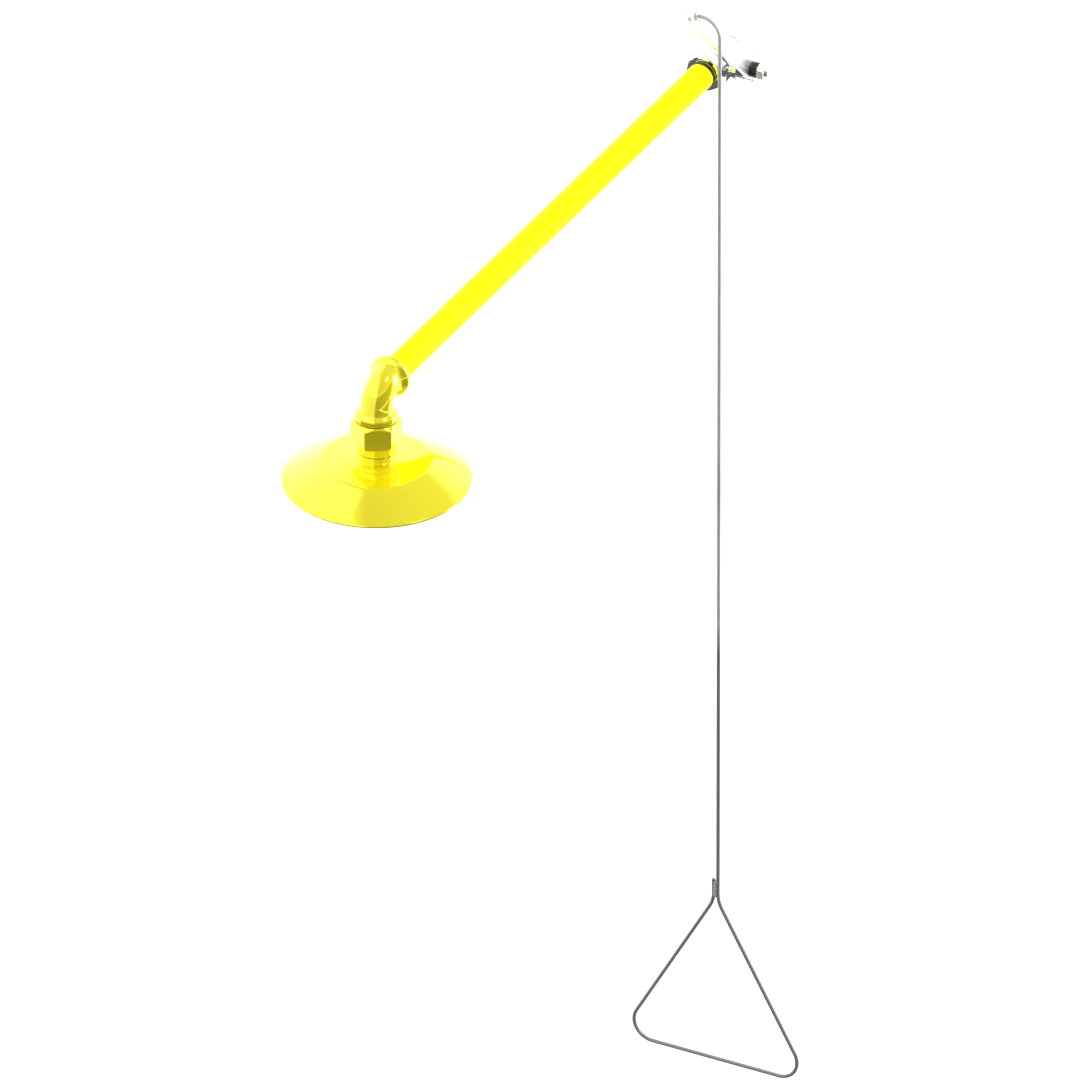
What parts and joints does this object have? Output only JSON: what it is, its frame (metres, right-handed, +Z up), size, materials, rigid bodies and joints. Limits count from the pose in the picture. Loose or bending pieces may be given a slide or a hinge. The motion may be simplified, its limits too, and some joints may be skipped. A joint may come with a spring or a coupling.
{
  "type": "emergency safety shower",
  "caption": "Overhead emergency drench shower: ball valve with lever arm, straight pipe, elbow, bell-shaped head and a bent pull rod ending in a triangular handle.",
  "frame": {"origin": "centre of the valve's inlet mouth, on the pipe axis", "axes": "+Y out of the inlet towards the supply pipe; +X towards the lever and pull rod; +Z up, along the hanging rod"},
  "size_m": [0.304, 1.0295, 1.4869],
  "materials": {
    "chrome_brass": "polished chrome plate over cast and machined brass",
    "ptfe": "smooth moulded PTFE",
    "yellow_pipe_coat": "satin powder coat over steel pipe",
    "yellow_enamel": "glossy powder coat with slight orange peel",
    "thread_sealant": "dark paste on cut thread",
    "black_rubber": "moulded rubber",
    "black_plastic": "moulded acetal",
    "stainless_screw": "stainless, turned",
    "stainless_plate": "punched stainless sheet, brushed",
    "chrome_ball": "mirror-polished chrome plate",
    "plain_brass": "turned brass",
    "bright_steel": "bright nickel-chrome plate",
    "dark_steel": "black oxide, oiled",
    "nylon": "natural nylon",
    "stainless_rod": "drawn stainless bar",
    "weld_metal": "TIG bead with heat tint"
  },
  "bodies": {
    "supply": {"valve_body": "chrome_brass", "valve_tailpiece": "chrome_brass", "tailpiece_seal": "ptfe", "ball_seat_inlet": "ptfe", "ball_seat_outlet": "ptfe", "stem_packing": "ptfe", "packing_nut": "chrome_brass", "supply_pipe": "yellow_pipe_coat", "valve_joint_sealant": "thread_sealant", "elbow_joint_sealant": "thread_sealant", "head_joint_sealant": "thread_sealant", "elbow": "yellow_enamel", "head_adapter": "yellow_enamel", "neck_gasket": "black_rubber", "flow_regulator": "black_plastic", "regulator_seal": "black_rubber", "head_bell": "yellow_enamel", "spreader_disc": "black_plastic", "spreader_screws": "stainless_screw", "plate_gasket": "black_rubber", "spray_plate": "stainless_plate", "spray_plate_screws": "stainless_screw"},
    "lever": {"valve_ball": "chrome_ball", "valve_stem": "plain_brass", "stem_thrust_washer": "ptfe", "lever_arm": "bright_steel", "lever_collar": "dark_steel", "lever_lock_washer": "dark_steel", "lever_nut": "bright_steel", "rod_bush": "nylon"},
    "pull_rod": {"pull_rod": "stainless_rod", "handle_weld": "weld_metal", "rod_washers": "bright_steel", "cotter_pin": "bright_steel"}
  },
  "joints": [
    {"name": "lever_turn", "type": "hinge", "parent": "supply", "child": "lever", "pos_m": [0.0445, -0.038, 0], "axis": [1, 0, 0], "range_deg": [0, 90]},
    {"name": "rod_hang", "type": "hinge", "parent": "lever", "child": "pull_rod", "pos_m": [0.0445, -0.182, 0.15], "axis": [1, 0, 0], "range_deg": [-90, 0]}
  ],
  "couplings": [
    {"joint": "rod_hang", "follows": "lever_turn", "ratio": -1}
  ]
}
